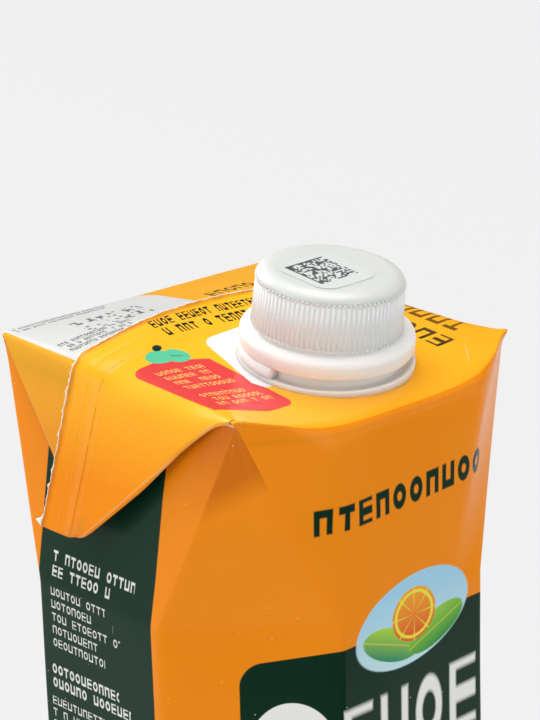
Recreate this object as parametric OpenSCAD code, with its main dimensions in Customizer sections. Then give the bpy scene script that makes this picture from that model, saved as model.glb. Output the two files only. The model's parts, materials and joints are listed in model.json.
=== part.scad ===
// Juice carton with eight sides, folded-down ears, a sealed ridge and a screw cap.
// The origin is under the middle of the pack, Z is up and the front face looks along -Y.

/* [Pack body] */
// Width across the two side faces
body_w = 80; // [67:1:96]
// Depth across the front and back faces
body_d = 77; // [64:1:93]
// Height of the folded top edges at the back
body_h = 196.4; // [163:0.1:236]
// How far each upright corner is cut back along either face
corner_cut = 22.5; // [18.5:0.5:27]
// Height of the tapered fold at the top and at the bottom
fold_h = 41; // [34:1:49]
// How far the middle of the top front crease lies below the back edge
crease_drop = 4.6; // [3.5:0.1:5.6]
// Thickness of the folded board
board_t = 1.2; // [0.8:0.1:1.6]

/* [Ridge and ears] */
// Width of the sealed strip that lies folded towards the back
seal_w = 8; // [6.5:0.5:9.5]
// Thickness of the sealed strip
seal_t = 0.9; // [0.7:0.1:1.2]
// Lift of the strip's free edge above its root
seal_lift = 2.2; // [1.5:0.1:2.7]
// Rise of the ridge above the back edge
ridge_rise = 2.2; // [1.5:0.1:2.7]
// Angle at which each ear stands off the side below it
ear_spread = 9.5; // [7:0.5:12]

/* [Spout] */
// Radius of the round foot of the spout
foot_r = 15.8; // [13.5:0.1:17]
// Thickness of the foot
foot_t = 0.8; // [0.6:0.1:1.2]
// Distance of the spout's axis in front of the middle of the pack
spout_front = 17.6; // [15:0.2:18]
// Tilt of the spout towards the front
spout_tilt = 8.1; // [7.5:0.1:10]
// Sideways lean of the spout
spout_lean = 0.8; // [0:0.1:3]
// Height of the spout's foot at its axis, below the back edge of the pack
spout_sink = 1.7; // [1.4:0.1:2]

/* [Cap] */
// Height of the foot, neck, ring and cap together
cap_h = 17.8; // [14.8:0.1:20.8]
// Number of fine ribs round the cap
rib_count = 90; // [60:2:100]
// Depth of the ribs
rib_d = 0.3; // [0.2:0.05:0.4]
// Gap between the moving closure and the neck
fit_gap = 0.3; // [0.2:0.05:0.4]

/* [Hidden] */
hw = body_w / 2;
hd = body_d / 2;
inset_x = 0.285 * corner_cut;
inset_y = 0.35 * corner_cut;
top_x = hw - inset_x;
back_y = hd - inset_y + 1;
front_y = inset_y + 1 - hd;
crease_x = body_w / 4;
edge_fall = 0.26 * crease_drop;
knee_z = body_h - fold_h;
flap_t = board_t;
seal_y = 3;
ear_len = (back_y - front_y) / 2;
ear_angle = ear_spread + atan(inset_x / fold_h);
slope = tan(spout_tilt);
spout_z = body_h - spout_sink;
ring_low = 0.2 * cap_h;
cap_low = 0.41 * cap_h;
ring_r = foot_r - 0.25;
cap_r = 0.855 * foot_r;
neck_r = cap_r - 1.1;
face_r = cap_r - 3.1;
label_t = 0.15;
label_r = 2.8;
wing_y = 1.15 * foot_r;

// Weight that is 1 in the middle of the top and falls to 0 at its side folds
function arch(x) = 1 - pow(min(1, abs(x) / top_x), 3.3);

// Height of the straight side folds of the top at a given depth
function side_z(y) = body_h + 0.6 - edge_fall * (back_y - y) / (back_y - front_y) - 0.6 * (back_y - y) / (back_y - front_y);

// Height of the top along the middle line of the pack, from crease to ridge to back edge
function mid_z(y) = lookup(y, [
  [-hd, body_h - crease_drop],
  [-spout_front, spout_z + 0.15],
  [wing_y - spout_front, spout_z + wing_y * slope + 0.15],
  [seal_y, body_h + ridge_rise],
  [seal_y + seal_w, body_h + ridge_rise + 0.4],
  [back_y, body_h + 0.6]
]);

function top_z(x, y) = side_z(y) + arch(x) * (mid_z(y) - side_z(y));

// Front line of the top, straight in the middle and drawn back to the two corners
function line_y(x) = abs(x) < crease_x ? -hd : -hd + (front_y + hd) * (abs(x) - crease_x) / (top_x - crease_x);

function octagon(cut) = [
  [-hw, cut - hd], [cut - hw, -hd], [hw - cut, -hd], [hw, cut - hd],
  [hw, hd - cut], [hw - cut, hd], [cut - hw, hd], [-hw, hd - cut]
];

function strip_x(i, n) = -top_x + 2 * top_x * i / n;

module level(z, outline) {
  translate([0, 0, z]) linear_extrude(0.02) polygon(outline);
}

// Flat plate with rounded edges through a list of points
module plate(points, t) {
  hull() for (p = points) translate(p) sphere(d = t, $fn = 12);
}

module envelope() {
  foot = [for (sx = [-1, 1], sy = [-1, 1]) [sx * top_x, sy * (hd - inset_y)]];
  lid = [
    [-top_x, front_y], [-crease_x, -hd], [crease_x, -hd], [top_x, front_y],
    [top_x, back_y], [-top_x, back_y]
  ];
  hull() {
    level(flap_t, [foot[0], foot[2], foot[3], foot[1]]);
    level(fold_h, octagon(corner_cut));
    level(knee_z, octagon(corner_cut));
    level(body_h + 10, lid);
  }
}

// Everything above the curved top, taken off the envelope
module above_top() {
  nx = 28;
  ny = 26;
  x0 = -hw - 2;
  y0 = -hd - 2;
  dx = (body_w + 4) / nx;
  dy = (body_d + 4) / ny;
  w = ny + 1;
  low = [for (i = [0:nx], j = [0:ny]) [x0 + i * dx, y0 + j * dy, top_z(x0 + i * dx, y0 + j * dy)]];
  high = [for (p = low) [p[0], p[1], body_h + 20]];
  n = len(low);
  cells = [for (i = [0:nx - 1], j = [0:ny - 1]) i * w + j];
  sides = concat(
    [for (j = [0:ny - 1]) [j, j + 1]],
    [for (i = [0:nx - 1]) [i * w + ny, (i + 1) * w + ny]],
    [for (j = [ny:-1:1]) [nx * w + j, nx * w + j - 1]],
    [for (i = [nx:-1:1]) [i * w, (i - 1) * w]]
  );
  polyhedron(
    points = concat(low, high),
    faces = concat(
      [for (c = cells) [c, c + w, c + 1]],
      [for (c = cells) [c + 1, c + w, c + w + 1]],
      [for (c = cells) [n + c, n + c + 1, n + c + w]],
      [for (c = cells) [n + c + 1, n + c + w + 1, n + c + w]],
      [for (s = sides) [s[0], s[1], n + s[0]]],
      [for (s = sides) [s[1], n + s[1], n + s[0]]]
    )
  );
}

// Point on the right ear, a given depth and distance down from its fold
function on_ear(y, d, lift) = [
  top_x - board_t / 2 + d * sin(ear_angle) + lift * cos(ear_angle),
  y,
  side_z(y) * (1 - d / ear_len) + side_z(seal_y) * d / ear_len - board_t / 2 - d * cos(ear_angle) + lift * sin(ear_angle)
];

module ear() {
  tip_y = seal_y + seal_w;
  plate([
    on_ear(front_y + 1, 0, 0), on_ear(back_y - 1, 0, 0),
    on_ear(tip_y, ear_len, 0), on_ear(seal_y, ear_len, 0)
  ], board_t);
  plate([
    on_ear(seal_y, 0, seal_t / 2), on_ear(tip_y, 0, seal_t),
    on_ear(tip_y, ear_len - 0.5, seal_t), on_ear(seal_y, ear_len - 0.5, seal_t / 2)
  ], seal_t);
  plate([
    on_ear(front_y + 0.6, 0, 0.4), on_ear(front_y + 3, 0, 0), on_ear(front_y + 2.4, 2.2, 0)
  ], 2 * board_t);
}

function root_point(x) = [x, seal_y, top_z(x, seal_y)];

function free_point(x) = [x, seal_y + seal_w, top_z(x, seal_y + seal_w) + seal_t / 2 + seal_lift * arch(x)];

// Sealed strip over the arched ridge, folded down towards the back
module ridge_strip() {
  n = 16;
  for (i = [0:n - 1]) plate([
    root_point(strip_x(i, n)), free_point(strip_x(i, n)),
    root_point(strip_x(i + 1, n)), free_point(strip_x(i + 1, n))
  ], seal_t);
}

// Board packed under the raised strip, so that it rests on the top
module ridge_wedge() {
  n = 8;
  for (i = [0:n - 1]) hull() for (x = [strip_x(i, n), strip_x(i + 1, n)]) {
    translate(root_point(x) - [0, 0, 1]) cube(0.4);
    translate(free_point(x) - [0, 2, seal_t / 2 + 0.1]) cube(0.2, center = true);
    translate(free_point(x) - [0, 2, seal_lift * arch(x) + 1.2]) cube(0.4, center = true);
  }
}

// Folded underside: two flat flaps that meet in the middle, over the lower seal
module underside() {
  for (s = [-1, 1]) hull() {
    translate([s * (top_x - 1.5), 0, 0]) linear_extrude(flap_t + 0.2) square([2, 2 * (hd - inset_y) - 1], center = true);
    translate([s * 3, 0, 0]) linear_extrude(flap_t + 0.2) square([2, seal_w], center = true);
  }
  translate([0, 0, flap_t / 2]) linear_extrude(flap_t) square([2 * top_x - 6, seal_w], center = true);
}

module on_spout(h) {
  translate([0, -spout_front, spout_z]) rotate([spout_tilt, -spout_lean, 0]) translate([0, 0, h]) children();
}

// Round foot with a broad tab that runs back towards the ridge
module foot_outline(grow) {
  circle(r = foot_r + grow, $fn = 96);
  hull() {
    for (s = [-1, 1]) translate([s * 0.67 * foot_r, wing_y - 3]) circle(r = 3 + grow, $fn = 32);
    for (s = [-1, 1]) translate([s * (1.16 * foot_r - 2), -1]) circle(r = 2 + grow, $fn = 32);
  }
}

module carton() {
  color([0.96, 0.6, 0.1]) difference() {
    union() {
      difference() {
        envelope();
        above_top();
      }
      ridge_strip();
      ridge_wedge();
      ear();
      mirror([1, 0, 0]) ear();
      underside();
    }
    on_spout(0) linear_extrude(6) foot_outline(0.15);
  }
}

module spout_base() {
  color([0.95, 0.95, 0.95]) on_spout(0) {
    linear_extrude(foot_t) foot_outline(0);
    cylinder(r = neck_r, h = cap_low - fit_gap, $fn = 96);
    rotate([0, 0, -55]) rotate_extrude(angle = 240, $fn = 96) translate([neck_r - 1, 0]) square([ring_r - neck_r + 0.7, ring_low]);
  }
}

module tamper_ring() {
  color([0.95, 0.95, 0.95]) on_spout(0) rotate_extrude($fn = 96) polygon([
    [neck_r + fit_gap, ring_low],
    [ring_r, ring_low],
    [ring_r - 0.15, 0.8 * cap_low],
    [ring_r - 0.5, 0.84 * cap_low],
    [cap_r, cap_low - fit_gap],
    [neck_r + fit_gap, cap_low - fit_gap]
  ]);
}

module cap() {
  step = 360 / rib_count;
  bead_z = cap_h - 1.9;
  star = [for (i = [0:2 * rib_count - 1]) (cap_r - (i % 2) * rib_d) * [cos(i * step / 2), sin(i * step / 2)]];
  color([0.96, 0.96, 0.96]) on_spout(0) {
    translate([0, 0, cap_low]) linear_extrude(bead_z - cap_low) polygon(star);
    rotate_extrude($fn = 96) polygon([
      [0, bead_z - 1],
      [cap_r - 2 * rib_d, bead_z - 1],
      [cap_r - 2 * rib_d, cap_h - 1.4],
      [cap_r - 1, cap_h - 0.5],
      [face_r, cap_h],
      [0, cap_h]
    ]);
  }
}

// Thin sticker with rounded corners on the flat of the cap
module code_label() {
  side = 1.36 * face_r - 2 * label_r;
  color([0.85, 0.87, 0.85]) on_spout(cap_h) linear_extrude(label_t) hull() {
    for (sx = [-1, 1], sy = [-1, 1]) translate([sx * side / 2, sy * side / 2]) circle(r = label_r, $fn = 32);
  }
}

carton();
spout_base();
tamper_ring();
cap();
code_label();
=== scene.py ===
import json
import math

import bmesh
import bpy
import numpy as np
from mathutils import Matrix, Vector, noise

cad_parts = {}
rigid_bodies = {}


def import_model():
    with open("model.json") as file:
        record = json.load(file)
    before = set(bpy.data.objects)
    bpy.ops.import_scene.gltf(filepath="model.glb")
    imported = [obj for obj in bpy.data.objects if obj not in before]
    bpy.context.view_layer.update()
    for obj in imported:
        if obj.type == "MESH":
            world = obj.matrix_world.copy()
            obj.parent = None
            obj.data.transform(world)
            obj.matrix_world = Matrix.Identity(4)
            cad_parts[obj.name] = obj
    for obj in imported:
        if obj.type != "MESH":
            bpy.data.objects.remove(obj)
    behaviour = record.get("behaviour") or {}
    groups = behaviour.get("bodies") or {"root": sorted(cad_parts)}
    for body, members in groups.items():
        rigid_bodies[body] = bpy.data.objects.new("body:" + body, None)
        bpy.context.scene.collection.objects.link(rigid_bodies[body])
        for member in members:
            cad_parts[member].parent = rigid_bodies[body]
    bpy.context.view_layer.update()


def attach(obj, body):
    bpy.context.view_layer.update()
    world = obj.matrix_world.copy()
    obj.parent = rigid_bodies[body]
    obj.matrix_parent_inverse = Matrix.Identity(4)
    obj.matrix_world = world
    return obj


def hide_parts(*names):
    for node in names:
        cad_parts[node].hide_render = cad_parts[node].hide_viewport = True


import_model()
mm = 0.001


# ---------- small helpers: node values, materials, meshes

class Num:
    # wraps one number socket, so that sums can be written as plain expressions

    def __init__(self, shade, socket):
        self.shade = shade
        self.socket = socket

    def math(self, operation, *others):
        values = {0: self}
        for index, other in enumerate(others):
            values[index + 1] = other
        return self.shade.node("ShaderNodeMath", {"operation": operation}, values)

    def __add__(self, other):
        return self.math("ADD", other)

    def __radd__(self, other):
        return self.math("ADD", other)

    def __sub__(self, other):
        return self.math("SUBTRACT", other)

    def __rsub__(self, other):
        return self.shade.node("ShaderNodeMath", {"operation": "SUBTRACT"}, {0: other, 1: self})

    def __mul__(self, other):
        return self.math("MULTIPLY", other)

    def __rmul__(self, other):
        return self.math("MULTIPLY", other)

    def __truediv__(self, other):
        return self.math("DIVIDE", other)

    def __neg__(self):
        return self.math("MULTIPLY", -1.0)

    def __abs__(self):
        return self.math("ABSOLUTE")

    def floor(self):
        return self.math("FLOOR")

    def fract(self):
        return self.math("FRACT")

    def sqrt(self):
        return self.math("SQRT")

    def power(self, other):
        return self.math("POWER", other)

    def sin(self):
        return self.math("SINE")

    def least(self, other):
        return self.math("MINIMUM", other)

    def most(self, other):
        return self.math("MAXIMUM", other)

    def over(self, other):
        return self.math("GREATER_THAN", other)

    def under(self, other):
        return self.math("LESS_THAN", other)

    def clamped(self):
        return self.math("MAXIMUM", 0.0).math("MINIMUM", 1.0)


class Shade:
    # one material and its node tree

    def __init__(self, name):
        self.material = bpy.data.materials.new(name)
        self.material.use_nodes = True
        self.tree = self.material.node_tree
        self.tree.nodes.clear()
        self.output = self.tree.nodes.new("ShaderNodeOutputMaterial")

    def node(self, kind, settings=None, values=None, out=0):
        made = self.tree.nodes.new(kind)
        for key, setting in (settings or {}).items():
            if key == "stops":
                ramp = made.color_ramp
                while len(ramp.elements) < len(setting):
                    ramp.elements.new(0.5)
                for element, (place, colour) in zip(ramp.elements, setting):
                    element.position = place
                    element.color = colour
            else:
                setattr(made, key, setting)
        for key, value in (values or {}).items():
            socket = made.inputs[key]
            if isinstance(value, Num):
                self.tree.links.new(value.socket, socket)
            else:
                socket.default_value = value
        return Num(self, made.outputs[out])

    def mixColour(self, amount, low, high):
        return self.node("ShaderNodeMix", {"data_type": "RGBA"}, {0: amount, 6: low, 7: high}, out=2)

    def surface(self, **values):
        named = {key.replace("_", " "): value for key, value in values.items()}
        bsdf = self.node("ShaderNodeBsdfPrincipled", None, named)
        self.tree.links.new(bsdf.socket, self.output.inputs[0])
        return bsdf


def rgba(r, g, b):
    return (r, g, b, 1.0)


def boxGap(x, y, cx, cy, hx, hy, r):  # distance outside a rounded box
    qx = abs(x - cx) - (hx - r)
    qy = abs(y - cy) - (hy - r)
    outX = qx.most(0.0)
    outY = qy.most(0.0)
    return (outX * outX + outY * outY).sqrt() + qx.most(qy).least(0.0) - r


def discGap(x, y, cx, cy, rx, ry):
    dx = (x - cx) / rx
    dy = (y - cy) / ry
    return ((dx * dx + dy * dy).sqrt() - 1.0) * min(rx, ry)


def cover(gap, soft=0.12):  # 1 inside a shape, 0 outside
    return (0.5 - gap / soft).clamped()


def smoothMesh(obj):
    for polygon in obj.data.polygons:
        polygon.use_smooth = True


def makeObject(name, mesh, material):
    obj = bpy.data.objects.new(name, mesh)
    bpy.context.scene.collection.objects.link(obj)
    mesh.materials.clear()
    mesh.materials.append(material)
    smoothMesh(obj)
    return obj


def meshFrom(name, points, faces, uvs=None, merge=0.02):
    # points in millimetres, one uv pair for each corner of each face
    mesh = bpy.data.meshes.new(name)
    mesh.from_pydata([tuple(p) for p in points], [], faces)
    if uvs is not None:
        layer = mesh.uv_layers.new(name="blank")
        flat = np.array([pair for face in uvs for pair in face], dtype=np.float32)
        layer.data.foreach_set("uv", flat.ravel())
    bm = bmesh.new()
    bm.from_mesh(mesh)
    if merge:
        bmesh.ops.remove_doubles(bm, verts=bm.verts, dist=merge)
        bmesh.ops.dissolve_degenerate(bm, edges=bm.edges, dist=merge * 0.2)
    bm.to_mesh(mesh)
    bm.free()
    return mesh


def toMetres(mesh, place=None):
    mesh.transform(Matrix.Scale(mm, 4) if place is None else Matrix.Scale(mm, 4) @ place)
    mesh.update()


def fixNormals(mesh):
    bm = bmesh.new()
    bm.from_mesh(mesh)
    bmesh.ops.recalc_face_normals(bm, faces=bm.faces)
    bm.to_mesh(mesh)
    bm.free()


class Patchwork:
    # collects grids of points that share their borders

    def __init__(self):
        self.points = []
        self.faces = []
        self.uvs = []

    def grid(self, rows, uvRows, flip=False):
        start = len(self.points)
        across = len(rows[0])
        for row in rows:
            self.points.extend(row)
        for j in range(len(rows) - 1):
            for i in range(across - 1):
                a = start + j * across + i
                face = [a, a + 1, a + 1 + across, a + across]
                uv = [uvRows[j][i], uvRows[j][i + 1], uvRows[j + 1][i + 1], uvRows[j + 1][i]]
                if flip:
                    face.reverse()
                    uv.reverse()
                self.faces.append(face)
                self.uvs.append(uv)


def lerp(a, b, t):
    return a + (b - a) * t


def smoothVertices(mesh, weight, rounds):
    # evens out the points of a mesh, each by its own weight
    count = len(mesh.vertices)
    place = np.zeros(count * 3)
    mesh.vertices.foreach_get("co", place)
    place = place.reshape(-1, 3)
    ends = np.zeros(len(mesh.edges) * 2, dtype=np.int64)
    mesh.edges.foreach_get("vertices", ends)
    ends = ends.reshape(-1, 2)
    near = np.bincount(ends.ravel(), minlength=count).astype(float)[:, None]
    share = weight(place)[:, None]
    for _ in range(rounds):
        total = np.zeros_like(place)
        np.add.at(total, ends[:, 0], place[ends[:, 1]])
        np.add.at(total, ends[:, 1], place[ends[:, 0]])
        place = place + share * (total / np.maximum(near, 1) - place)
    mesh.vertices.foreach_set("co", place.ravel())
    mesh.update()


# ---------- the folded pack, in millimetres

pack = {
    "halfWidth": 40.0,
    "halfDepth": 38.5,
    "cornerCut": 22.5,
    "kneeTop": 155.4,
    "kneeBase": 41.0,
    "topX": 33.6,
    "frontY": -29.6,
    "backY": 31.6,
    "baseY": 30.6,
    "baseZ": 1.2,
    "creaseX": 20.0,
    "foldBackZ": 197.0,
    "foldFrontZ": 195.2,
    "backLean": 0.7,
    "ridgeY": 3.0,
    "boardThickness": 1.1,
    "earAngle": math.radians(18.5),
    "waveSize": 26.0,
    "waveHeight": 0.22,
}
crownY = [-38.5, -17.6, 0.6, 3.0, 11.0, 31.6]  # the top's middle line, front to back
crownZ = [191.8, 194.8, 197.6, 198.5, 198.9, 197.0]
roundY = [-30, -20, 0, 4, 12, 32]  # how softly the side folds are rounded along their length
roundR = [1.6, 4.2, 5.0, 3.0, 1.4, 0.9]
earEdgeY = [-29.6, -28.1, -25.8, -22.4, -19.0, -15.7, -11.7, -5.2, -0.9, 1.1, 3.0, 6.5, 10.9, 15.9, 20.9, 26.4, 31.6]
earEdgeD = [0.0, 0.3, 1.6, 4.7, 8.1, 12.1, 17.0, 23.6, 28.0, 29.2, 29.3, 24.0, 17.7, 13.3, 9.2, 4.6, 0.0]


def sideZ(y):
    share = (pack["backY"] - y) / (pack["backY"] - pack["frontY"])
    return lerp(pack["foldBackZ"], pack["foldFrontZ"], share)


def topZ(x, y):
    arch = 1 - min(1, abs(x) / pack["topX"]) ** 3.3
    lean = pack["backLean"] * (x / pack["topX"]) * max(0, y / pack["backY"])
    return sideZ(y) + arch * (float(np.interp(y, crownY, crownZ)) - sideZ(y)) - lean


def rawSkin(s, y):  # s runs across the top and on down the ears
    side = 1 if s > 0 else -1
    d = abs(s) - pack["topX"]
    if d <= 0:
        return np.array([s, y, topZ(s, y)])
    turn = pack["earAngle"]
    return np.array([side * (pack["topX"] + d * math.sin(turn)), y, topZ(side * pack["topX"], y) - d * math.cos(turn)])


def skin(s, y):
    r = float(np.interp(y, roundY, roundR))
    side = 1 if s > 0 else -1
    off = abs(s) - pack["topX"]
    if abs(off) >= r:
        return rawSkin(s, y)
    first = rawSkin(side * (pack["topX"] - r), y)
    corner = rawSkin(side * pack["topX"], y)
    last = rawSkin(side * (pack["topX"] + r), y)
    t = (off + r) / (2 * r)
    return first * (1 - t) ** 2 + corner * 2 * t * (1 - t) + last * t * t


def skinNormal(s, y):
    across = skin(s + 0.2, y) - skin(s - 0.2, y)
    along = skin(s, y + 0.2) - skin(s, y - 0.2)
    n = np.cross(across, along)
    return n / np.linalg.norm(n)


def underSkin(s, y):
    return skin(s, y) - pack["boardThickness"] * skinNormal(s, y)


def frontLine(x):
    out = (abs(x) - pack["creaseX"]) / (pack["topX"] - pack["creaseX"])
    return -pack["halfDepth"] + (pack["frontY"] + pack["halfDepth"]) * max(0, out)


def earDepth(y):
    return float(np.interp(y, earEdgeY, earEdgeD))


def spread(low, high, count, ends=0.75):  # stations that crowd towards both ends
    even = np.linspace(0, 1, count + 1)
    eased = 0.5 - 0.5 * np.cos(np.pi * even)
    return low + (high - low) * (even * (1 - ends) + eased * ends)


def buildPack(boardMaterials):
    work = Patchwork()
    topX = pack["topX"]
    acrossTop = spread(-topX, topX, 64, 0.6)
    rowsY = spread(pack["frontY"], pack["backY"], 84, 0.5)
    earSteps = np.linspace(0, 1, 34)
    skinUv = lambda s, y: ((2000 + s) * mm, (100 + y) * mm)
    underUv = lambda s, y: ((2200 + s) * mm, (100 + y) * mm)

    # the top and both ears, as one outer skin
    rows, uvRows = [], []
    for y in rowsY:
        share = (y - pack["frontY"]) / (pack["backY"] - pack["frontY"])
        places = [(-topX - earDepth(y) * t, y) for t in earSteps[::-1]]
        for x in acrossTop[1:-1]:
            pull = (frontLine(x) - pack["frontY"]) * (1 - share) ** 2
            places.append((x, y + pull))
        places += [(topX + earDepth(y) * t, y) for t in earSteps]
        rows.append([skin(s, v) for s, v in places])
        uvRows.append([skinUv(s, v) for s, v in places])
    work.grid(rows, uvRows)

    # ear edges and undersides, back up to the folds
    for side in (-1, 1):
        rows, uvRows = [], []
        for y in rowsY:
            end = side * (topX + earDepth(y))
            middle = 0.5 * (skin(end, y) + underSkin(end, y))
            grow = min(1, earDepth(y)) * 0.45
            push = np.array([side * math.sin(pack["earAngle"]), 0, -math.cos(pack["earAngle"])]) * grow
            row = [skin(end, y), middle + push]
            uv = [skinUv(end, y), skinUv(end, y)]
            for t in earSteps[::-1]:
                s = side * (topX + earDepth(y) * t)
                row.append(underSkin(s, y))
                uv.append(underUv(s, y))
            rows.append(row)
            uvRows.append(uv)
        work.grid(rows, uvRows, flip=side < 0)

    # the eight upright panels, ring by ring
    cut, halfW, halfD = pack["cornerCut"], pack["halfWidth"], pack["halfDepth"]
    flatX = halfW - cut
    flatY = halfD - cut
    bevelSteps = spread(0, 1, 21, 0.8)

    def corner(side, y):
        a, b = skin(side * topX, y), underSkin(side * topX, y)
        return [a, 0.5 * (a + b), b]

    def bevelTop(points):
        count = len(bevelSteps)
        return [points[0 if k < count / 3 else 1 if k < 2 * count / 3 else 2] for k in range(count)]

    panels = []
    sideShare = (rowsY - pack["frontY"]) / (pack["backY"] - pack["frontY"])
    topFront = [skin(x, frontLine(x)) for x in acrossTop]
    topBack = [skin(x, pack["backY"]) for x in acrossTop]
    kneeX = acrossTop / topX * flatX
    sideKnee = (sideShare * 2 - 1) * flatY
    sideBase = (sideShare * 2 - 1) * pack["baseY"]

    def ringPoints(level):
        z = pack["kneeTop"] if level == "knee" else pack["kneeBase"]
        if level == "base":
            z = pack["baseZ"]
            front = [np.array([x, -pack["baseY"], z]) for x in acrossTop]
            right = [np.array([topX, y, z]) for y in sideBase]
            back = [np.array([x, pack["baseY"], z]) for x in acrossTop[::-1]]
            left = [np.array([-topX, y, z]) for y in sideBase[::-1]]
        elif level == "top":
            front = topFront
            right = [underSkin(topX, y) for y in rowsY]
            back = topBack[::-1]
            left = [underSkin(-topX, y) for y in rowsY[::-1]]
        else:
            front = [np.array([x, -halfD, z]) for x in kneeX]
            right = [np.array([halfW, y, z]) for y in sideKnee]
            back = [np.array([x, halfD, z]) for x in kneeX[::-1]]
            left = [np.array([-halfW, y, z]) for y in sideKnee[::-1]]
        bevels = []
        sides = [front, right, back, left]
        for k in range(4):
            a, b = sides[k][-1], sides[(k + 1) % 4][0]
            bevels.append([lerp(a, b, t) for t in bevelSteps])
        if level == "top":
            frontRight = corner(1, pack["frontY"])
            backRight = corner(1, pack["backY"])[::-1]
            backLeft = corner(-1, pack["backY"])
            frontLeft = corner(-1, pack["frontY"])[::-1]
            bevels = [bevelTop(c) for c in (frontRight, backRight, backLeft, frontLeft)]
        return [front, bevels[0], right, bevels[1], back, bevels[2], left, bevels[3]]

    levels = {name: ringPoints(name) for name in ("top", "knee", "low", "base")}
    steps = [("top", "knee", spread(0, 1, 40, 0.7)), ("knee", "low", spread(0, 1, 44, 0.75)), ("low", "base", spread(0, 1, 24, 0.7))]
    bevelLength = math.hypot(cut, cut)
    for index in range(8):
        for upper, lower, marks in steps:
            rows, uvRows = [], []
            for t in marks:
                a, b = levels[upper][index], levels[lower][index]
                row = [lerp(p, q, t) for p, q in zip(a, b)]
                uv = []
                for k, p in enumerate(row):
                    if index % 2:
                        flat = levels["knee"][index]
                        along = (bevelSteps[k] - 0.5) * bevelLength
                        squeeze = np.linalg.norm(row[-1] - row[0]) / bevelLength
                        place = along * squeeze
                    else:
                        place = {0: p[0], 2: p[1], 4: -p[0], 6: -p[1]}[index]
                    uv.append(((200 * index + place) * mm, p[2] * mm))
                rows.append(row)
                uvRows.append(uv)
            work.grid(rows, uvRows, flip=True)

    # underside
    rows = [[np.array([x, y, pack["baseZ"]]) for x in acrossTop] for y in sideBase]
    work.grid(rows, [[((2400 + p[0]) * mm, (100 + p[1]) * mm) for p in row] for row in rows], flip=True)

    mesh = meshFrom("pack", work.points, work.faces, work.uvs)
    fixNormals(mesh)

    softness = lambda place: np.full(len(place), 0.3)

    def frontSoftness(place):
        fromCrease = np.hypot(place[:, 2] - 192.3, place[:, 1] + 38.0)
        return 0.6 * np.exp(-(fromCrease / 3.2) ** 2) * (np.abs(place[:, 0]) < 26)

    smoothVertices(mesh, softness, 7)
    smoothVertices(mesh, frontSoftness, 60)
    count = len(mesh.vertices)
    place = np.zeros(count * 3)
    mesh.vertices.foreach_get("co", place)
    place = place.reshape(-1, 3)
    for point in place:  # the board is never quite flat
        where = Vector(point) / pack["waveSize"]
        swell = noise.noise_vector(where) * pack["waveHeight"]
        point += np.array(swell)
        for side in (-1, 1):  # pinched front corners
            away = np.linalg.norm(point - np.array([side * 33.6, -30.0, 195.0]))
            if away < 6:
                point += np.array([side * 0.55, -0.6, 0.25]) * 1.5 * math.exp(-(away / 1.5) ** 2)
    mesh.vertices.foreach_set("co", place.ravel())
    toMetres(mesh)
    packObject = makeObject("packBoard", mesh, boardMaterials[0])
    for other in boardMaterials[1:]:
        mesh.materials.append(other)
    layer = mesh.uv_layers["blank"].data
    for polygon in mesh.polygons:  # panels 0, 1, 7 front; 2, 6 sides; 3, 4, 5 back; the rest top
        panel = round(layer[polygon.loop_indices[0]].uv[0] / mm / 200)
        polygon.material_index = {0: 1, 1: 1, 7: 1, 2: 2, 6: 2, 3: 3, 4: 3, 5: 3}.get(panel, 0)
    return packObject


# ---------- sealed strip over the ridge

strip = {
    "root": 1.0,
    "freeEdge": 9.7,
    "endDepth": 29.5,
    "thickness": 0.75,
    "curl": 1.5,
    "tear": 0.28,
}
stripY = [0.3, 1.2, 2.0, 2.7, 3.0, 3.3, 4.2, 5.2, 5.5, 5.8, 7.0, 8.0, 8.3, 8.6, 9.3, 9.7]
stripLift = [-0.2, -0.04, 0.1, 0.26, 0.27, 0.36, 0.56, 0.74, 0.70, 0.8, 0.92, 1.0, 0.95, 1.03, 1.1, 1.1]


def stripHeight(s, y):
    lift = float(np.interp(y, stripY, stripLift))
    onTop = math.exp(-((s + 9) / 17) ** 2)
    return lift + strip["curl"] * onTop * max(0, (y - 4) / 6) ** 1.4


def tornEdge(s):
    ragged = noise.noise(Vector((s * 0.7, 3.1, 0))) + 0.8 * noise.noise(Vector((s * 2.1, 7.7, 0)))
    broad = 0.35 * noise.noise(Vector((s * 0.12, 1.3, 0)))
    return strip["freeEdge"] + strip["tear"] * ragged + broad


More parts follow.
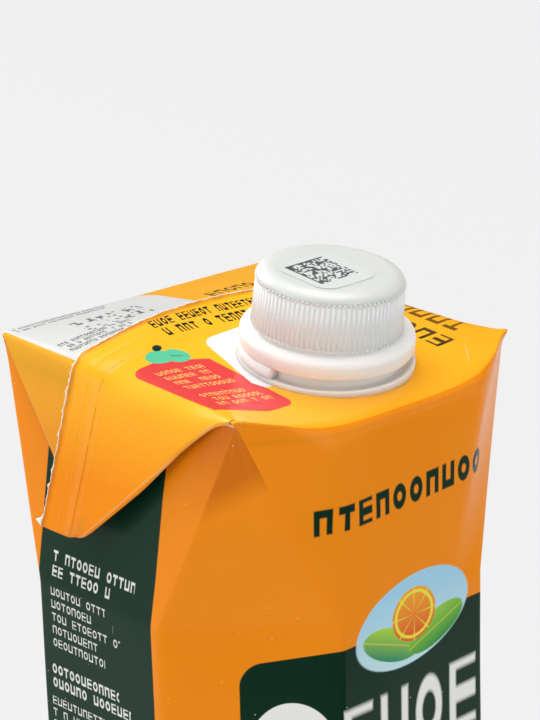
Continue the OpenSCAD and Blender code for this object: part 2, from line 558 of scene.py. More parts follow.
def buildStrip(material, paper):
    end = pack["topX"] + strip["endDepth"]
    stations = np.linspace(-end, end, 420)
    work = Patchwork()
    rows, uvRows, fringe, fringeUv = [], [], [], []
    for s in stations:
        edge = tornEdge(s)
        begin = 0.3 + 2.6 * max(0, (abs(s) - end + 1.8) / 1.8) ** 2
        ys = [max(begin + 0.02 * k, min(y, edge)) if y < 9.5 else edge for k, y in enumerate(stripY)]
        row, uv = [], []
        for y, mark in zip(ys, stripY):
            row.append(skin(s, y) + stripHeight(s, mark) * skinNormal(s, y))
            uv.append(((2000 + s) * mm, (100 + y) * mm))
        outer = skinNormal(s, edge)
        for y, mark in zip(ys[::-1], stripY[::-1]):
            low = max(stripHeight(s, mark) - strip["thickness"], -0.3) if mark > 4.5 else -0.4
            row.append(skin(s, y) + low * skinNormal(s, y))
            uv.append(((2200 + s) * mm, (100 + y) * mm))
        row.append(row[0])
        uv.append(uv[0])
        rows.append(row)
        uvRows.append(uv)
        top = stripHeight(s, 9.7)
        reach = 0.02 + 0.5 * max(0, noise.noise(Vector((s * 1.3, 0.4, 5.0))) + 0.12)
        reach += 1.5 * math.exp(-((s + end - 0.8) / 0.5) ** 2)  # loose fibre at the left tip
        base = skin(s, edge)
        back = np.array([0, 1.0, 0])
        fringe.append([
            base + outer * (top + 0.03) - back * 0.12, base + outer * (top + 0.03) + back * reach,
            base + outer * (top - 0.5) + back * reach, base + outer * (top - 0.6) - back * 0.12,
            base + outer * (top + 0.03) - back * 0.12,
        ])
        fringeUv.append([((2600 + s) * mm, (100 + k) * mm) for k in range(5)])
    work.grid(rows, uvRows)
    for ends in (0, -1):
        addCap(work, rows[ends][:-1], uvRows[ends][:-1], ends == 0)
    mesh = meshFrom("strip", work.points, work.faces, work.uvs, merge=0.004)
    fixNormals(mesh)
    toMetres(mesh)
    sealed = makeObject("sealStrip", mesh, material)
    work = Patchwork()
    work.grid(fringe, fringeUv)
    for ends in (0, -1):
        addCap(work, fringe[ends][:-1], fringeUv[ends][:-1], ends == 0)
    mesh = meshFrom("fringe", work.points, work.faces, work.uvs, merge=0.004)
    fixNormals(mesh)
    toMetres(mesh)
    torn = makeObject("tornPaper", mesh, paper)
    return sealed, torn


def addCap(work, loop, uvLoop, flip):
    start = len(work.points)
    work.points.extend(loop)
    face = list(range(start, start + len(loop)))
    uv = list(uvLoop)
    if flip:
        face.reverse()
        uv.reverse()
    work.faces.append(face)
    work.uvs.append(uv)


# ---------- spout, ring, cap and sticker

underside = {
    "half": (33.6, 30.6),
    "paper": 0.45,
    "sealWidth": 9.0,
    "flapReach": 30.0,
}


def slab(outline, low, high):
    # flat closed piece with a small chamfer, from its outline in the plane
    centre = np.mean(outline, axis=0)
    work = Patchwork()
    rows, uvRows = [], []
    for z, inset in ((low, 0.25), (low + 0.12, 0.0), (high - 0.12, 0.0), (high, 0.25)):
        ring = [np.array(p) - (np.array(p) - centre) / np.linalg.norm(np.array(p) - centre) * inset for p in outline]
        row = [np.array([p[0], p[1], z]) for p in ring + ring[:1]]
        rows.append(row)
        uvRows.append([((2400 + p[0]) * mm, (100 + p[1]) * mm) for p in row])
    work.grid(rows, uvRows)
    for ends in (0, -1):
        addCap(work, rows[ends][:-1], uvRows[ends][:-1], ends == 0)
    mesh = meshFrom("slab", work.points, work.faces, work.uvs, merge=0.004)
    fixNormals(mesh)
    return mesh


def buildBase(material):
    # folded underside: crossed layers, its seal strip and two flaps turned in
    hx, hy = underside["half"]
    t, w, reach = underside["paper"], underside["sealWidth"] / 2, underside["flapReach"]
    meshes = [
        slab([(-hx, -hy), (hx, -hy), (hx, hy), (-hx, hy)], 2 * t - 0.05, 1.35),
        slab([(-hx + 0.5, -w), (hx - 0.5, -w), (hx - 0.5, w), (-hx + 0.5, w)], t - 0.05, 2 * t),
    ]
    for side in (-1, 1):
        meshes.append(slab([(side * hx, -hy + 1), (side * (hx - reach), 0), (side * hx, hy - 1)], 0.0, t))
    return joined("baseFlaps", meshes, material, None)


spout = {
    "front": 17.6,
    "height": 194.7,
    "tilt": math.radians(8.7),
    "lean": math.radians(1.9),
    "footRadius": 15.8,
    "footThickness": 0.8,
    "neckRadius": 12.4,
    "ringLow": 3.57,
    "capLow": 7.4,
}
spoutPlace = (
    Matrix.Translation((0, -spout["front"], spout["height"]))
    @ Matrix.Rotation(-spout["lean"], 4, "Y")
    @ Matrix.Rotation(spout["tilt"], 4, "X")
)


def lathe(profile, segments=192, start=0.0, turn=math.tau):
    # closed outline of (radius, height) pairs, swept round the spout's axis
    work = Patchwork()
    rows, uvRows = [], []
    whole = abs(turn - math.tau) < 1e-6
    for k in range(segments + 1):
        angle = start + turn * k / segments
        c, s = math.cos(angle), math.sin(angle)
        rows.append([np.array([r * c, r * s, h]) for r, h in profile])
        uvRows.append([(angle, h * mm) for r, h in profile])
    work.grid(rows, uvRows)
    if not whole:
        addCap(work, rows[0][:-1], uvRows[0][:-1], True)
        addCap(work, rows[-1][:-1], uvRows[-1][:-1], False)
    mesh = meshFrom("lathe", work.points, work.faces, None, merge=0.002)
    fixNormals(mesh)
    return mesh


def joined(name, meshes, material, place=spoutPlace):
    bm = bmesh.new()
    for mesh in meshes:
        bm.from_mesh(mesh)
    whole = bpy.data.meshes.new(name)
    bm.to_mesh(whole)
    bm.free()
    toMetres(whole, place)
    return makeObject(name, whole, material)


def wingOutline(grow):
    # the foot's tab, from one flank round the back to the other
    r = spout["footRadius"]
    wingY = 1.15 * r
    rings = [
        (-(1.16 * r - 2), -1.0, 2.0, 180, 250), (1.16 * r - 2, -1.0, 2.0, 290, 360),
        (0.67 * r, wingY - 3, 3.0, 15, 90), (-0.67 * r, wingY - 3, 3.0, 90, 165),
    ]
    outline = []
    for x, y, radius, low, high in rings:
        for k in range(9):
            angle = math.radians(lerp(low, high, k / 8))
            outline.append(((radius + grow) * math.cos(angle) + x, (radius + grow) * math.sin(angle) + y))
    return outline


def buildFoot(material):
    t = spout["footThickness"]
    levels = [(0.0, 0.0), (0.55, 0.0), (0.72, -0.08), (t, -0.28)]
    bm = bmesh.new()
    previous = None
    for h, grow in levels:
        loop = [bm.verts.new((x, y, h)) for x, y in wingOutline(grow)]
        if previous:
            for k in range(len(loop)):
                m = (k + 1) % len(loop)
                bm.faces.new([previous[k], previous[m], loop[m], loop[k]])
        else:
            bm.faces.new(loop[::-1])
        previous = loop
    bm.faces.new(previous)
    bmesh.ops.recalc_face_normals(bm, faces=bm.faces)
    wing = bpy.data.meshes.new("wing")
    bm.to_mesh(wing)
    bm.free()
    r, n = spout["footRadius"], spout["neckRadius"]
    disc = lathe([
        (0, 0), (r, 0), (r, 1.25), (r - 0.08, 1.5), (r - 0.28, 1.62), (r - 0.62, 1.6), (r - 0.85, 1.45), (r - 1.2, 1.38),
        (r - 1.9, 1.42), (r - 2.1, 1.6), (r - 2.15, 2.0), (r - 2.15, 3.5), (n, 3.8), (n, 7.1), (0, 7.1),
    ])
    low = spout["ringLow"]
    block = lathe(
        [(n - 1, t - 0.3), (15.62, t - 0.3), (15.62, low + 0.1), (n - 1, low - 0.02), (n - 1, t - 0.3)],
        120, math.radians(-32), math.radians(219),
    )
    return joined("spoutFoot", [wing, disc, block], material)


def buildRing(material):
    low = spout["ringLow"]
    profile = [
        (12.7, low), (15.2, low), (15.45, low + 0.1), (15.55, low + 0.35), (15.5, 5.6), (15.4, 6.05), (15.15, 6.35),
        (14.6, 6.72), (14.0, 6.92), (13.6, 7.15), (13.38, 7.45), (13.2, 7.6), (12.7, 7.6), (12.7, low),
    ]
    return joined("tamperRing", [lathe(profile)], material)


cap = {
    "low": 7.0,
    "top": 17.75,
    "lowRadius": 13.35,
    "radius": 12.95,
    "shoulder": 15.75,
    "faceRadius": 10.2,
    "ribCount": 90,
    "ribWidth": 0.5,
    "tilt": math.radians(7.6),
    "lean": math.radians(-0.3),
    "shift": (-0.65, -0.2),
}
capPlace = (
    Matrix.Translation((cap["shift"][0], cap["shift"][1] - spout["front"], spout["height"]))
    @ Matrix.Rotation(-cap["lean"], 4, "Y")
    @ Matrix.Rotation(cap["tilt"], 4, "X")
)


def buildCap(material):
    low, high, top = cap["low"], cap["shoulder"], cap["top"]
    wide, r, flat = cap["lowRadius"], cap["radius"], cap["faceRadius"]
    profile = [(0, low), (wide - 0.5, low), (wide - 0.12, low + 0.1), (wide, low + 0.4)]
    profile += [(lerp(wide, r, t), lerp(low + 0.4, high, t)) for t in (0.25, 0.5, 0.75, 1.0)]
    for k in range(1, 10):  # rounded shoulder
        angle = math.pi / 2 * k / 9
        profile.append((flat + (r + 0.1 - flat) * math.cos(angle), high + (top - 0.08 - high) * math.sin(angle)))
    profile += [(flat * 0.7, top - 0.04), (flat * 0.4, top), (0, top)]
    body = joined("capBody", [lathe(profile)], material, capPlace)
    body.data.materials.append(capFaceShade)
    axis = (capPlace.to_3x3() @ Vector((0, 0, 1))).normalized()
    foot = capPlace.translation * mm
    for polygon in body.data.polygons:  # painted shade: the face and its shoulder take a greyer copy of the cap plastic, darker than the ribs under the same top light
        if (polygon.center - foot).dot(axis) > (high + 0.15) * mm:
            polygon.material_index = 1
    return body


def buildRibs(material):
    # one slim rib with a bead at its upper end, repeated round the cap
    tree = bpy.data.node_groups.new("capRibs", "GeometryNodeTree")
    face = tree.interface
    face.new_socket("Geometry", in_out="OUTPUT", socket_type="NodeSocketGeometry")
    settings = {}
    for label, kind, value in (
        ("Count", "NodeSocketInt", cap["ribCount"]),
        ("Radius", "NodeSocketFloat", (0.5 * (cap["radius"] + cap["lowRadius"]) - 0.42) * mm),
        ("Rib width", "NodeSocketFloat", cap["ribWidth"] * mm),
        ("Rib length", "NodeSocketFloat", (cap["shoulder"] - cap["low"] - 0.4) * mm),
        ("Rib slant", "NodeSocketFloat", math.atan2(cap["lowRadius"] - cap["radius"], cap["shoulder"] - cap["low"])),
        ("Bead size", "NodeSocketFloat", 0.28 * mm),
        ("Bead reach", "NodeSocketFloat", 0.41 * mm),
        ("Finish", "NodeSocketMaterial", material),
    ):
        socket = face.new_socket(label, in_out="INPUT", socket_type=kind)
        settings[socket.identifier] = value
    nodes, link = tree.nodes, tree.links.new
    given = nodes.new("NodeGroupInput").outputs
    circle = nodes.new("GeometryNodeMeshCircle")
    link(given["Count"], circle.inputs["Vertices"])
    link(given["Radius"], circle.inputs["Radius"])
    rib = nodes.new("GeometryNodeMeshCylinder")
    rib.inputs["Vertices"].default_value = 24
    link(given["Rib width"], rib.inputs["Radius"])
    link(given["Rib length"], rib.inputs["Depth"])
    bead = nodes.new("GeometryNodeMeshIcoSphere")
    bead.inputs["Subdivisions"].default_value = 2
    link(given["Bead size"], bead.inputs["Radius"])
    both = nodes.new("GeometryNodeJoinGeometry")
    link(rib.outputs[0], both.inputs[0])
    for end in (0.5, -0.5):  # a bead above and one below
        half = nodes.new("ShaderNodeMath")
        half.operation = "MULTIPLY"
        half.inputs[1].default_value = end
        link(given["Rib length"], half.inputs[0])
        lift = nodes.new("ShaderNodeCombineXYZ")
        link(given["Bead reach"], lift.inputs[0])
        link(half.outputs[0], lift.inputs[2])
        moved = nodes.new("GeometryNodeTransform")
        link(bead.outputs[0], moved.inputs["Geometry"])
        link(lift.outputs[0], moved.inputs["Translation"])
        link(moved.outputs[0], both.inputs[0])
    slant = nodes.new("ShaderNodeCombineXYZ")
    flip = nodes.new("ShaderNodeMath")
    flip.operation = "MULTIPLY"
    flip.inputs[1].default_value = -1.0
    link(given["Rib slant"], flip.inputs[0])
    link(flip.outputs[0], slant.inputs[1])
    leaning = nodes.new("GeometryNodeTransform")
    link(both.outputs[0], leaning.inputs["Geometry"])
    link(slant.outputs[0], leaning.inputs["Rotation"])
    where = nodes.new("GeometryNodeInputPosition")
    facing = nodes.new("FunctionNodeAlignRotationToVector")
    facing.axis = "X"
    facing.pivot_axis = "Z"
    link(where.outputs[0], facing.inputs["Vector"])
    spot = nodes.new("GeometryNodeInstanceOnPoints")
    link(circle.outputs[0], spot.inputs["Points"])
    link(leaning.outputs[0], spot.inputs["Instance"])
    link(facing.outputs[0], spot.inputs["Rotation"])
    solid = nodes.new("GeometryNodeRealizeInstances")
    link(spot.outputs[0], solid.inputs[0])
    paint = nodes.new("GeometryNodeSetMaterial")
    link(solid.outputs[0], paint.inputs[0])
    link(given["Finish"], paint.inputs["Material"])
    link(paint.outputs[0], nodes.new("NodeGroupOutput").inputs[0])

    holder = bpy.data.objects.new("ribHolder", bpy.data.meshes.new("ribHolder"))
    bpy.context.scene.collection.objects.link(holder)
    modifier = holder.modifiers.new("ribs", "NODES")
    modifier.node_group = tree
    for identifier, value in settings.items():
        modifier[identifier] = value
    solved = holder.evaluated_get(bpy.context.evaluated_depsgraph_get())
    mesh = bpy.data.meshes.new_from_object(solved)
    holder.modifiers.remove(modifier)
    bpy.data.objects.remove(holder)
    place = capPlace.copy()
    place.translation = place.translation * mm
    mesh.transform(place @ Matrix.Translation((0, 0, 0.5 * (cap["low"] + 0.4 + cap["shoulder"]) * mm)))
    return makeObject("capRibs", mesh, material)


sticker = {"side": 13.4, "radius": 3.2, "thickness": 0.03, "turn": math.radians(1), "shift": (-1.9, -0.7)}


def buildSticker(material):
    bm = bmesh.new()
    loops = []
    for h, grow in ((0.0, 0.0), (sticker["thickness"], 0.0)):
        loop = []
        half = sticker["side"] / 2 - sticker["radius"]
        for cx, cy, first in ((1, 1, 0), (-1, 1, 90), (-1, -1, 180), (1, -1, 270)):
            for k in range(9):
                angle = math.radians(first + 90 * k / 8)
                loop.append(bm.verts.new((
                    cx * half + sticker["radius"] * math.cos(angle),
                    cy * half + sticker["radius"] * math.sin(angle), h,
                )))
        loops.append(loop)
    for k in range(len(loops[0])):
        m = (k + 1) % len(loops[0])
        bm.faces.new([loops[0][k], loops[0][m], loops[1][m], loops[1][k]])
    bm.faces.new(loops[0][::-1])
    upper = bm.faces.new(loops[1])
    layer = bm.loops.layers.uv.new("blank")
    for f in bm.faces:
        for corner in f.loops:
            corner[layer].uv = (corner.vert.co.x * mm, corner.vert.co.y * mm)
    mesh = bpy.data.meshes.new("sticker")
    bm.to_mesh(mesh)
    bm.free()
    shift = Matrix.Translation((sticker["shift"][0], sticker["shift"][1], cap["top"] - 0.02))
    toMetres(mesh, capPlace @ shift @ Matrix.Rotation(sticker["turn"], 4, "Z"))
    film = makeObject("codeSticker", mesh, material)
    for polygon in mesh.polygons:
        polygon.use_smooth = False
    return film


# ---------- printed board, with painted shade and painted highlights

ink = {
    "orange": rgba(0.86, 0.255, 0.004),
    "topOrange": rgba(0.95, 0.47, 0.022),
    "green": rgba(0.003, 0.027, 0.013),
    "red": rgba(0.672, 0.057, 0.054),
    "mint": rgba(0.10, 0.52, 0.30),
    "white": rgba(0.80, 0.81, 0.79),
    "silver": rgba(0.63, 0.635, 0.625),
    "cream": rgba(0.92, 0.62, 0.16),
    "sky": rgba(0.34, 0.62, 0.80),
    "paleSky": rgba(0.52, 0.74, 0.80),
    "lemon": rgba(0.80, 0.74, 0.06),
    "sun": rgba(0.72, 0.13, 0.02),
    "peel": rgba(0.86, 0.34, 0.03),
    "lime": rgba(0.40, 0.66, 0.05),
    "teal": rgba(0.02, 0.26, 0.13),
    "grass": rgba(0.03, 0.28, 0.05),
    "leaf": rgba(0.28, 0.58, 0.06),
    "blue": rgba(0.05, 0.34, 0.74),
    "deep": rgba(0.01, 0.03, 0.10),
    "paper": rgba(0.80, 0.78, 0.74),
    "charcoal": rgba(0.03, 0.045, 0.05),
}


def marks(shade, fields):
    # small plain shapes where a printed pack has its print, drawn once for several fields
    sums = None
    for x, y, left, top, pitch, step, half, rows, width, seed, weight, gaps, ragged in fields:
        across = (x - left) / pitch
        down = (top - y) / step
        inside = across.over(0.0) * across.under(width / pitch) * down.over(0.0) * down.under(float(rows))
        spare = (1.0 - across * (pitch / width)) / max(ragged, 0.001)
        parts = [across + 50.0 * seed, down, step / half, weight, gaps, spare]
        terms = [inside * part for part in parts] + [inside]
        sums = terms if sums is None else [a + b for a, b in zip(sums, terms)]
    across, down, scale, weight, gaps, spare, inside = sums
    column, row = across.floor(), down.floor()
    lx = (across.fract() - 0.5) * 2.6
    ly = (0.5 - down.fract()) * scale
    cell = shade.node("ShaderNodeCombineXYZ", None, {0: column, 1: row})
    pick = shade.node("ShaderNodeTexWhiteNoise", {"noise_dimensions": "2D"}, {"Vector": cell})
    blank = (pick * 57.31).fract()
    last = shade.node("ShaderNodeTexWhiteNoise", {"noise_dimensions": "1D"}, {"W": row + (column / 50.0).floor() * 9.0})
    soft = 0.14
    inner = 1.0 - weight * 2.0
    full = cover(abs(lx).most(abs(ly)) - 1.0, soft)
    slot = cover(abs(lx) - inner, soft)
    post = cover(abs(lx) - weight, soft)
    kinds = [
        (0.28, cover(abs((lx * lx + ly * ly).sqrt() - (1.0 - weight)) - weight, soft)),
        (0.46, full * (1 - slot * cover(ly - inner, soft))),
        (0.62, full * (1 - slot * cover(-ly - inner, soft))),
        (0.80, full * (1 - cover(-lx - inner, soft) * cover(abs(abs(ly) - 0.5) - (0.5 - weight), soft))),
        (1.01, full * post.most(cover(inner - ly, soft))),
    ]
    shape, low = 0.0, -1.0
    for high, kind in kinds:
        shape = kind * pick.over(low) * pick.under(high) + shape
        low = high
    return shape * inside * blank.over(gaps) * spare.over(last)


class Print:
    # what every printed face of the board starts from

    def __init__(self, name):
        self.shade = Shade(name)
        uv = self.shade.node("ShaderNodeUVMap", {"uv_map": "blank"})
        self.place = self.shade.node("ShaderNodeTexCoord", None, None, out=3)
        u = self.shade.node("ShaderNodeSeparateXYZ", None, {0: uv}, out=0) * 1000.0
        self.v = self.shade.node("ShaderNodeSeparateXYZ", None, {0: uv}, out=1) * 1000.0
        self.panel = ((u + 100.0) / 200.0).floor()
        self.x = u - self.panel * 200.0
        self.y = self.v - 100.0
        self.colour = ink["orange"]

    def on(self, number):
        return abs(self.panel - float(number)).under(0.5)

    def lay(self, mask, tint):
        self.colour = self.shade.mixColour(mask, self.colour, tint)

    def finish(self, height=0.0):
        shade, place = self.shade, self.place
        dust = shade.node("ShaderNodeTexVoronoi", {"feature": "F1"}, {"Vector": place, "Scale": 420.0})
        fine = shade.node("ShaderNodeTexNoise", None, {"Vector": place, "Scale": 70.0, "Detail": 3.0})
        blur = shade.node("ShaderNodeTexNoise", None, {"Vector": place, "Scale": 16.0, "Detail": 4.0})
        self.lay(dust.under(0.06) * blur.over(0.49) * 0.45, ink["paper"])
        mottle = shade.node("ShaderNodeMix", {"data_type": "RGBA", "blend_type": "MULTIPLY"}, {
            0: ((0.62 - fine) * 0.30).clamped(), 6: self.colour, 7: rgba(0.72, 0.62, 0.5)}, out=2)
        grain = shade.node("ShaderNodeTexNoise", None, {"Vector": place, "Scale": 900.0, "Detail": 2.0})
        dent = shade.node("ShaderNodeTexNoise", None, {"Vector": place, "Scale": 42.0, "Detail": 2.0})
        bump = shade.node("ShaderNodeBump", None, {
            "Strength": 0.5, "Distance": 0.001, "Height": grain * 0.010 + dent * 0.16 + height})
        shade.surface(
            Base_Color=mottle, Roughness=fine * 0.12 + board["roughness"], Normal=bump, Coat_Weight=board["coat"],
            Coat_Roughness=0.12, Specular_IOR_Level=board["gloss"],
        )
        return shade.material


board = {"roughness": 0.17, "coat": 0.0, "gloss": 0.16}


def sidePrintAndShade():
    # wide dark stripe with two blocks of small marks, and painted shade from the ear at the top front
    p = Print("sidePrintAndShade")
    x, v = p.x, p.v
    drift = ((v - 164.0) / 14.0).clamped()
    p.lay(cover(abs(x + 1.1 + drift * 0.4) - (15.4 - drift * 0.2), 0.2), ink["green"])
    # painted shade: the ear's shadow on the side, darker towards the top front
    p.lay(((v - 174.0) / 16.0).clamped() * ((x - 14.0) / 8.0).clamped() * 0.5, rgba(0.45, 0.07, 0.003))
    p.lay(0.92 * marks(p.shade, [
        (x, v, -13.0, 162.2, 1.62, 2.75, 0.96, 2, 22.5, 2.0, 0.25, 0.10, 0.35),
        (x, v, -13.9, 140.4, 1.62, 2.75, 0.96, 2, 23.0, 5.0, 0.25, 0.10, 0.35),
        (x, v, -13.2, 155.65, 1.42, 2.5, 0.78, 5, 22.5, 9.0, 0.19, 0.12, 0.5),
        (x, v, -14.3, 133.7, 1.42, 2.4, 0.78, 14, 22.5, 14.0, 0.19, 0.12, 0.4),
    ]), ink["white"])
    return p.finish()


def frontPrintAndShade():
    # block row, emblem, dark field with big plain shapes, running on over both bevels, with painted shade from the ear
    # on the bevel tops and along the top front crease
    p = Print("frontPrintAndShade")
    x, v = p.x, p.v
    front = p.on(0)
    # painted shadow of the ear on the tops of both bevels
    hidden = x * (p.on(7) - p.on(1)) + 16.0
    p.lay(((v - hidden * 0.5 - 171.0) / 5.0).clamped() * (1 - front) * 0.5, rgba(0.42, 0.07, 0.003))
    p.lay(cover(boxGap(x, v, 0.0, 60.0, 60.0, 91.2, 4.0), 0.2) * front, ink["green"])
    p.lay(cover(boxGap(x, v - (x - 16.0) * 0.15, 30.0, 60.0, 32.2, 91.2, 4.0), 0.2) * p.on(7), ink["green"])
    p.lay(cover(boxGap(x, v + (x + 16.0) * 0.15, -30.0, 60.0, 32.2, 91.2, 4.0), 0.2) * p.on(1), ink["green"])
    p.lay(cover(abs(discGap(x, v, 7.0, 132.3, 6.4, 7.4)) - 1.5, 0.15) * p.on(7), ink["white"])
    # painted shade along the rounded top front crease
    p.lay(cover(abs(v - 190.7) - 0.2, 1.1) * front * 0.28, rgba(0.50, 0.16, 0.002))
    shapes = marks(p.shade, [
        (x, v - (x - 20.0) * 0.03, -21.8, 180.2, 4.1, 8.0, 2.35, 1, 41.0, 12.0, 0.32, -1.0, 0.0),
        (x, v, -18.5, 146.0, 8.9, 26.0, 6.6, 1, 62.0, 3.0, 0.24, -1.0, 0.0),
    ]) * front
    p.lay(shapes * v.over(160.0), ink["green"])
    p.lay(shapes * v.under(160.0), ink["white"])

    shade = p.shade
    ex = (x + 0.2) * 0.99 + (v - 151.7) * 0.14
    ey = (v - 151.7) * 0.99 - (x + 0.2) * 0.14
    oval = cover(discGap(ex, ey, 0.0, 0.0, 14.3, 8.1), 0.25) * front
    emblem = shade.mixColour(((v - 146.0) / 12.0).clamped(), ink["paleSky"], ink["sky"])
    for side, low, high in ((-1.0, "teal", "lime"), (1.0, "grass", "leaf")):  # a leaf on each side of the slice
        across, up = x * side - 5.6, v - 148.4
        along, over = across * 0.94 + up * 0.34, up * 0.94 - across * 0.34
        leaf = cover(discGap(along, over, 0.0, 0.0, 7.4, 3.1), 0.2)
        tone = shade.mixColour(((over + 3.0) / 6.0).clamped(), ink[low], ink[high])
        tone = shade.mixColour(cover(abs(over) - 0.12, 0.2) * 0.5, tone, ink["lemon"])
        emblem = shade.mixColour(leaf, emblem, tone)
    reach = (x * x * 0.8 + (v - 152.4) * (v - 152.4)).sqrt()
    around = shade.node("ShaderNodeMath", {"operation": "ARCTAN2"}, {0: v - 152.4, 1: x})
    spokes = abs((around * (4.0 / math.pi)).fract() - 0.5)
    flesh = shade.mixColour(((v - 149.0) / 7.0).clamped(), ink["sun"], ink["peel"])
    flesh = shade.mixColour(cover(0.45 - spokes, 0.06) * reach.over(0.6) * 0.7, flesh, ink["lemon"])
    flesh = shade.mixColour(cover(abs(reach - 4.1) - 0.28, 0.25), flesh, ink["lemon"])
    emblem = shade.mixColour(cover(reach - 4.9, 0.25), emblem, flesh)
    p.lay(oval, emblem)
    return p.finish()


def backPrint():
    p = Print("backPrint")
    x, v = p.x, p.v
    p.lay(cover(boxGap(x, v, 0.0, 30.0, 40.0, 99.5, 5.0), 0.2) * p.on(5).most(p.on(3)), ink["white"])
    p.lay(cover(boxGap(x, v, 0.0, 60.0, 60.0, 91.2, 4.0), 0.2) * p.on(4), ink["green"])
    p.lay(marks(p.shade, [
        (x, v, -15.0, 176.0, 4.1, 8.0, 2.15, 1, 31.0, 12.0, 0.27, -1.0, 0.0),
        (x, v, -15.0, 140.0, 1.42, 2.5, 0.74, 24, 30.0, 9.0, 0.15, 0.12, 0.3),
    ]) * p.on(4), ink["white"])
    return p.finish()


